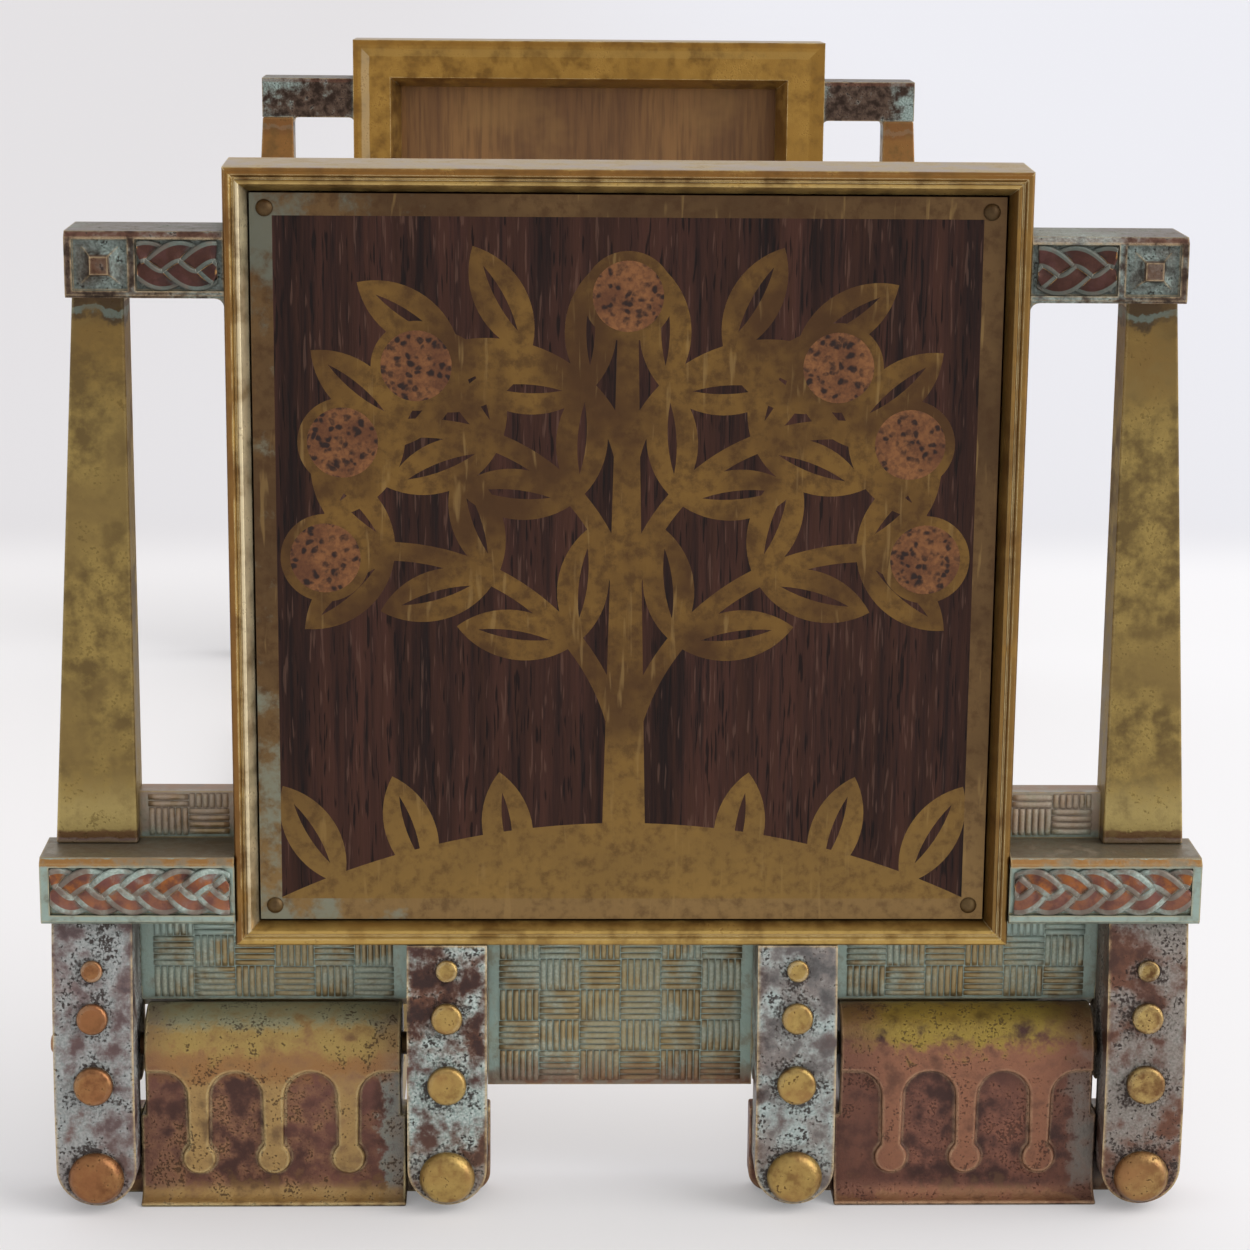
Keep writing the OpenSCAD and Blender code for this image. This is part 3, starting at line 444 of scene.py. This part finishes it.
def grainedWood(name, look):
    mat, tree, shader, place = startMaterial(name)
    noises = {key: grain(tree, place, *settings) for key, settings in look["noises"].items()}
    noise, step, dark, pale = look["ground"]
    skin = blendColor(tree, spread(tree, noises[noise], *step), dark, pale)
    for noise, step, color in look["layers"]:
        skin = blendColor(tree, spread(tree, noises[noise], *step), skin, color)
    tree.links.new(skin, shader.inputs["Base Color"])
    rough = look["rough"]
    if isinstance(rough, tuple):
        rough = spread(tree, noises[rough[0]], *rough[1])
    plug(tree, shader.inputs["Roughness"], rough)
    shader.inputs["Specular IOR Level"].default_value = look["specular"]
    height = noises[look["relief"][0]]
    for noise in look["relief"][1:]:
        height = add(tree, height, noises[noise])
    addBump(tree, shader, height, look["bump"])
    return mat


# orange-brown burl with clustered dark eyes
burlLook = {
    "sway": (260.0, 4.0, 0.6), "fine": (1800.0, 3.0, 0.6), "warpScale": 500.0, "warpDetail": 3.0, "warp": 1.8 * mm,
    "eyeScale": 900.0, "eyeStep": (0.55, 0.25), "eyeCluster": (0.72, 0.45), "eye": "#24120b",
    "dark": "#643c20", "pale": "#8a5a32", "groundStep": (0.35, 0.65), "fleck": "#4e2c18",
    "fleckStep": (0.4, 0.65, 0.0, 0.5), "rough": 0.5, "specular": 0.3, "bump": 0.03 * mm,
}


def burlWood(look):
    mat, tree, shader, place = startMaterial("burlWood")
    sway, fine = (grain(tree, place, *look[key]) for key in ("sway", "fine"))
    noise = addNode(tree, "TexNoise", Vector=place, Scale=look["warpScale"], Detail=look["warpDetail"])
    warp = addNode(tree, "VectorMath", {"operation": "MULTIPLY_ADD"})
    for index, item in enumerate((noise.outputs[1], (look["warp"],) * 3, place)):
        plug(tree, warp.inputs[index], item)
    cells = addNode(tree, "TexVoronoi", Vector=warp.outputs[0], Scale=look["eyeScale"]).outputs["Distance"]
    skin = blendColor(tree, spread(tree, sway, *look["groundStep"]), look["dark"], look["pale"])
    skin = blendColor(tree, spread(tree, fine, *look["fleckStep"]), skin, look["fleck"])
    eyes = times(tree, spread(tree, cells, *look["eyeStep"]), spread(tree, sway, *look["eyeCluster"]), True)
    skin = blendColor(tree, eyes, skin, look["eye"])
    tree.links.new(skin, shader.inputs["Base Color"])
    shader.inputs["Roughness"].default_value = look["rough"]
    shader.inputs["Specular IOR Level"].default_value = look["specular"]
    addBump(tree, shader, fine, look["bump"])
    return mat


finishes = {**metals, "burlWood": burlWood(burlLook)}
finishes.update({name: inlayBrass(name, {**inlayBase, **look}) for name, look in inlayLooks.items()})
finishes.update({name: grainedWood(name, look) for name, look in woodLooks.items()})
print("finishes:", len(finishes))
# straps go by the end of their name, other parts that aren't named here are rails
finishOf = {
    "end_plate": "plateBronze", "left_post": "postBrass", "right_post": "postBrass",
    "left_arm": "armBronze", "right_arm": "armBronze", "strap_rivets": "rivetBrass", "strap_studs": "rivetBrass",
    "picture_frame": "frameBrass", "rosewood_panel": "rosewood", "panel_border": "borderBrass",
    "brass_inlay": "inlayBrass", "burl_inlay": "burlWood", "panel_pins": "pinBrass", "backing_board": "backingWood",
    "left_hinge_leaf": "leftFootBronze", "right_hinge_leaf": "rightFootBronze",
    "left_hinge_pin": "rivetBrass", "right_hinge_pin": "rivetBrass",
}


def finishFor(part):
    return finishes["strapBronze" if part.endswith("_strap") else finishOf.get(part, "railBrass")]


# cast edges are eased, flat inlay edges are left sharp; the feet's shallow relief is eased without a clamp
edgeEase = {"cast": 0.35 * mm, "foot": 0.32 * mm, "sheet": 0.12 * mm, "inlay": 0.0}
edgeRule = {"join": 0.002 * mm, "flatAngle": 0.5, "sharpAngle": 35, "segments": 3}
sheetParts = ("channel", "slide_bar", "stop_bar", "stop_pin", "panel_pins", "rail_rivets", "strap_rivets",
              "strap_studs", "left_hinge_pin", "right_hinge_pin", "picture_frame")
inlayParts = ("rosewood_panel", "panel_border", "brass_inlay", "burl_inlay", "backing_board")


def easeEdges(node, width, clamp):
    weld = node.modifiers.new("join", "WELD")
    weld.merge_threshold = edgeRule["join"]
    flat = node.modifiers.new("flats", "DECIMATE")
    flat.decimate_type = "DISSOLVE"
    flat.angle_limit = math.radians(edgeRule["flatAngle"])
    ease = node.modifiers.new("ease", "BEVEL")
    ease.width = width
    ease.segments = edgeRule["segments"]
    ease.limit_method = "ANGLE"
    ease.angle_limit = math.radians(edgeRule["sharpAngle"])
    ease.use_clamp_overlap = clamp
    node.modifiers.new("shade", "WEIGHTED_NORMAL").mode = "FACE_AREA_WITH_ANGLE"


for name, node in nodes.items():
    part = name.split("_", 1)[1]
    node.data.materials.clear()
    node.data.materials.append(finishFor(part))
    kind = "sheet" if part in sheetParts else "inlay" if part in inlayParts else "cast"
    kind = "foot" if part.endswith("hinge_leaf") else kind
    if edgeEase[kind]:
        easeEdges(node, edgeEase[kind], kind != "foot")
print("nodes finished")


# placing pieces on an end

def endMatrix(end):
    # an end's own axes: x right, y inwards from its outward face, z up
    low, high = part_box(end + "_picture_frame")
    turn = Matrix.Identity(4) if end == "front" else Matrix.Rotation(math.pi, 4, "Z")
    face = low.y if end == "front" else -high.y
    return turn @ Matrix.Translation((0, face, 0))


def addPiece(name, verts, faces, mat, body, place):
    mesh = bpy.data.meshes.new(name)
    mesh.from_pydata([place @ Vector(v) for v in verts], [], faces)
    mesh.polygons.foreach_set("use_smooth", [True] * len(faces))
    mesh.materials.append(mat)
    mesh.update()
    piece = bpy.data.objects.new(name, mesh)
    bpy.context.scene.collection.objects.link(piece)
    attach(piece, body)
    return piece


# basket weave on the plate: small flat-topped ridges, each cell turned against its neighbours; sizes in mm
weave = {
    "plateY": 9.3, "sunk": 0.15, "high": 0.45, "fill": 0.97, "margin": 0.1, "pitch": 0.92, "least": 2,
    "stations": 7, "around": 5, "swell": 0.4, "swellPower": 0.6, "swellEnd": 0.06, "ridgePower": 0.7,
    # x0, x1, z0, z1, columns, rows, first cell upright
    "fields": (
        (-17.4, 17.4, 15.5, 38.5, 6, 5, True),
        (32.4, 55.0, 28.3, 37.5, 4, 2, True), (-55.0, -32.4, 28.3, 37.5, 4, 2, True),
        (55.0, 66.6, 28.3, 42.1, 2, 3, True), (-66.6, -55.0, 28.3, 42.1, 2, 3, True),
        (55.4, 66.8, 52.4, 56.4, 2, 1, True), (-66.8, -55.4, 52.4, 56.4, 2, 1, True),
        (55.4, 66.8, 56.4, 58.5, 2, 1, False), (-66.8, -55.4, 56.4, 58.5, 2, 1, False),
    ),
}


def addRidge(verts, faces, center, run, across, length, width):
    # one ridge along run, swelling in the middle and dipping at its ends
    first = len(verts)
    stations, around = weave["stations"], weave["around"]
    for i in range(stations):
        t = i / (stations - 1)
        inside = min(max(t, weave["swellEnd"]), 1 - weave["swellEnd"])
        swell = 1 - weave["swell"] + weave["swell"] * math.sin(math.pi * inside) ** weave["swellPower"]
        for j in range(around):
            angle = math.pi * j / (around - 1)
            side = math.cos(angle) * width / 2
            lift = abs(math.sin(angle)) ** weave["ridgePower"] * weave["high"] * swell - weave["sunk"]
            at = center + run * (t - 0.5) * length + across * side
            verts.append((at.x * mm, (weave["plateY"] - lift) * mm, at.y * mm))
    for i in range(stations - 1):
        for j in range(around - 1):
            a = first + i * around + j
            faces.append((a, a + 1, a + around + 1, a + around))
    faces.append(tuple(first + j for j in range(around - 1, -1, -1)))
    last = first + (stations - 1) * around
    faces.append(tuple(last + j for j in range(around)))


def weaveMesh():
    verts, faces = [], []
    right, up = Vector((1, 0)), Vector((0, 1))
    for x0, x1, z0, z1, columns, rows, firstUpright in weave["fields"]:
        cellW, cellH = (x1 - x0) / columns, (z1 - z0) / rows
        for row in range(rows):
            for column in range(columns):
                mid = Vector((x0 + cellW * (column + 0.5), z0 + cellH * (row + 0.5)))
                upright = ((row + column) % 2 == 0) == firstUpright
                run, across = (up, right) if upright else (right, up)
                length = (cellH if upright else cellW) - weave["margin"]
                span = (cellW if upright else cellH) - weave["margin"]
                count = max(weave["least"], round(span / weave["pitch"]))
                for k in range(count):
                    shift = across * span * ((k + 0.5) / count - 0.5)
                    addRidge(verts, faces, mid + shift, run, across, length, span / count * weave["fill"])
    return verts, faces


weaveVerts, weaveFaces = weaveMesh()
for end in ends:
    addPiece(end + "_weave", weaveVerts, weaveFaces, metals["weaveBronze"], end + "_end",
             endMatrix(end))
print("weave:", len(weaveFaces), "faces an end")


# plait on the bands and arms, pointing outwards: hollow ribbons with raised pale edges; sizes in mm
plait = {
    "strands": 3, "strandW": 3.1, "strandT": 0.75, "lift": 0.4, "seat": 0.3, "step": 0.28, "reach": 0.92,
    # half of the ribbon's section: place across as a part of half its width, height as a part of strandT
    "rim": ((1.0, -0.2), (0.92, 0.6)), "crest": (0.95, 0.78), "hollow": (0.6, 0.5), "under": (0.5, -0.8),
    # the section's faces that lie in the hollow, in the first material; the rest is rim
    "lobes": (3, 4),
    # name, slot, x0, x1, z0, z1, depth of the sunk field, length of a strand's full weave, half width of its hollow
    "fields": (("band", "verdigris_bronze", 54.6, 79.4, 43.9, 50.6, -0.3, 12.75, 0.45),
               ("arm", "patina_bronze", 54.8, 65.4, 130.6, 137.2, 1.2, 13.6, 0.57)),
}


def strandSection(hollow):
    rimEnd, crest = plait["crest"]
    edge, bottom = plait["hollow"]
    half = (*plait["rim"], ((hollow + rimEnd) / 2, crest), (hollow, edge))
    left = tuple((-place, height) for place, height in half)
    place, height = plait["under"]
    return (*left, (0.0, bottom), *half[::-1], (place, height), (-place, height))


def addStrand(verts, faces, marks, field, phase, side):
    x0, x1, z0, z1, deep, turn, hollow = field
    section = strandSection(hollow)
    middle, sway = (z0 + z1) / 2, ((z1 - z0) - plait["strandW"] * plait["reach"]) / 2
    count = int((x1 - x0) / plait["step"]) + 1
    ring = len(section)
    first = len(verts)
    for i in range(count + 1):
        x = x0 + (x1 - x0) * i / count
        angle = 2 * math.pi * (x - x1) / turn + phase
        z = middle + sway * math.sin(angle)
        y = deep - plait["seat"] + plait["lift"] * math.sin(2 * angle)
        slope = sway * math.cos(angle) * 2 * math.pi / turn
        along = Vector((1, slope)).normalized()
        for place, height in section:
            across = place * plait["strandW"] / 2
            px = min(max(x - along.y * across, x0), x1)
            pz = min(max(z + along.x * across, z0), z1)
            verts.append((side * px * mm, (y - height * plait["strandT"]) * mm, pz * mm))
    for i in range(count):
        for j in range(ring):
            a, b = first + i * ring + j, first + i * ring + (j + 1) % ring
            quad = (a, b, b + ring, a + ring)
            faces.append(quad if side < 0 else quad[::-1])
            marks.append(0 if j in plait["lobes"] else 1)
    for start, flip in ((first, side < 0), (first + count * ring, side > 0)):
        cap = tuple(start + j for j in range(ring))
        faces.append(cap[::-1] if flip else cap)
        marks.append(1)


for end in ends:
    for label, slot, *field in plait["fields"]:
        for side, hand in ((-1, "left"), (1, "right")):
            verts, faces, marks = [], [], []
            for strand in range(plait["strands"]):
                addStrand(verts, faces, marks, field, strand * 2 * math.pi / plait["strands"], side)
            piece = addPiece(end + "_" + hand + "_" + label + "_plait", verts, faces, metals["lobeBronze"],
                             end + "_end", endMatrix(end))
            piece.data.materials.append(metals["rimBronze"])
            piece.data.polygons.foreach_set("material_index", marks)
print("plaits done")


# floor, light and camera
stage = {
    "size": 14.0, "desk": "#dddcdc", "far": "#e1e1e4", "edgeY": 0.23, "edgeSoft": 0.12, "glow": 0.19, "farGlow": 0.03,
    "shade": "#d2cecb", "shadeX": (0.4, -0.3, 0.0, 0.65), "rough": 0.6, "specular": 0.0,
}


def addFloor():
    half = stage["size"] / 2
    corners = [(-half, -half, 0), (half, -half, 0), (half, half, 0), (-half, half, 0)]
    mesh = bpy.data.meshes.new("floor")
    mesh.from_pydata(corners, [], [(0, 1, 2, 3)])
    mat, tree, shader, place = startMaterial("paleFloor")
    axes = addNode(tree, "SeparateXYZ", Vector=place)
    far = spread(tree, axes.outputs["Y"], stage["edgeY"], stage["edgeY"] + stage["edgeSoft"])
    skin = blendColor(tree, far, stage["desk"], stage["far"])
    skin = blendColor(tree, spread(tree, axes.outputs["X"], *stage["shadeX"]), skin, stage["shade"])
    tree.links.new(skin, shader.inputs["Base Color"])
    shader.inputs["Roughness"].default_value = stage["rough"]
    shader.inputs["Specular IOR Level"].default_value = stage["specular"]
    path = addNode(tree, "LightPath")
    seen = path.outputs["Is Camera Ray"]
    for ray in ("Is Glossy Ray", "Is Transmission Ray"):
        seen = calc(tree, "MAXIMUM", seen, path.outputs[ray])
    glow = times(tree, seen, spread(tree, far, 0.0, 1.0, stage["glow"], stage["farGlow"]))
    shader.inputs["Emission Color"].default_value = (1.0, 1.0, 1.0, 1.0)
    tree.links.new(glow, shader.inputs["Emission Strength"])
    mesh.materials.append(mat)
    floor = bpy.data.objects.new("floor", mesh)
    bpy.context.scene.collection.objects.link(floor)


light = {
    "sunPower": 1.2, "sunAngle": 50, "sunFrom": (1.0, -0.3, 0.8), "sky": "#fbfbff",
    "depthY": (-0.8, 0.8), "front": 0.62, "back": 0.85, "windowX": (0.5, 0.95), "window": 1.9,
}


def addLight():
    world = bpy.data.worlds.new("softRoom")
    bpy.context.scene.world = world
    world.use_nodes = True
    tree = world.node_tree
    back = tree.nodes["Background"]
    axes = addNode(tree, "SeparateXYZ", Vector=addNode(tree, "TexCoord").outputs["Generated"])
    depth = spread(tree, axes.outputs["Y"], *light["depthY"], light["front"], light["back"])
    window = spread(tree, axes.outputs["X"], *light["windowX"], 0.0, light["window"])
    tree.links.new(add(tree, depth, window), back.inputs["Strength"])
    back.inputs["Color"].default_value = tone(light["sky"])
    lamp = bpy.data.lights.new("window", "SUN")
    lamp.energy = light["sunPower"]
    lamp.angle = math.radians(light["sunAngle"])
    sun = bpy.data.objects.new("window", lamp)
    sun.rotation_euler = Vector(light["sunFrom"]).to_track_quat("Z", "Y").to_euler()
    bpy.context.scene.collection.objects.link(sun)


# place from the front frame's face in mm, turns in degrees
view = {
    "from": (-12.78, -432.15, 185.86), "yaw": 1.68, "pitch": -13.113, "roll": 0.536,
    "focalPx": 3247.0, "imagePx": 1250, "sensor": 36.0,
}


def addCamera():
    yaw, pitch, roll = (math.radians(view[key]) for key in ("yaw", "pitch", "roll"))
    ahead = Vector((math.sin(yaw) * math.cos(pitch), math.cos(yaw) * math.cos(pitch), math.sin(pitch)))
    right = Vector((math.cos(yaw), -math.sin(yaw), 0))
    up = right.cross(ahead)
    side = right * math.cos(roll) + up * math.sin(roll)
    top = up * math.cos(roll) - right * math.sin(roll)
    turn = Matrix((side, top, -ahead)).transposed().to_4x4()
    data = bpy.data.cameras.new("camera")
    data.sensor_width = view["sensor"]
    data.lens = view["sensor"] * view["focalPx"] / view["imagePx"]
    camera = bpy.data.objects.new("camera", data)
    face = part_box("front_picture_frame")[0].y
    camera.matrix_world = Matrix.Translation(Vector(view["from"]) * mm + Vector((0, face, 0))) @ turn
    bpy.context.scene.collection.objects.link(camera)
    bpy.context.scene.camera = camera


addFloor()
addLight()
addCamera()
bpy.context.scene.view_settings.view_transform = "Standard"
print("stage, light and camera set")
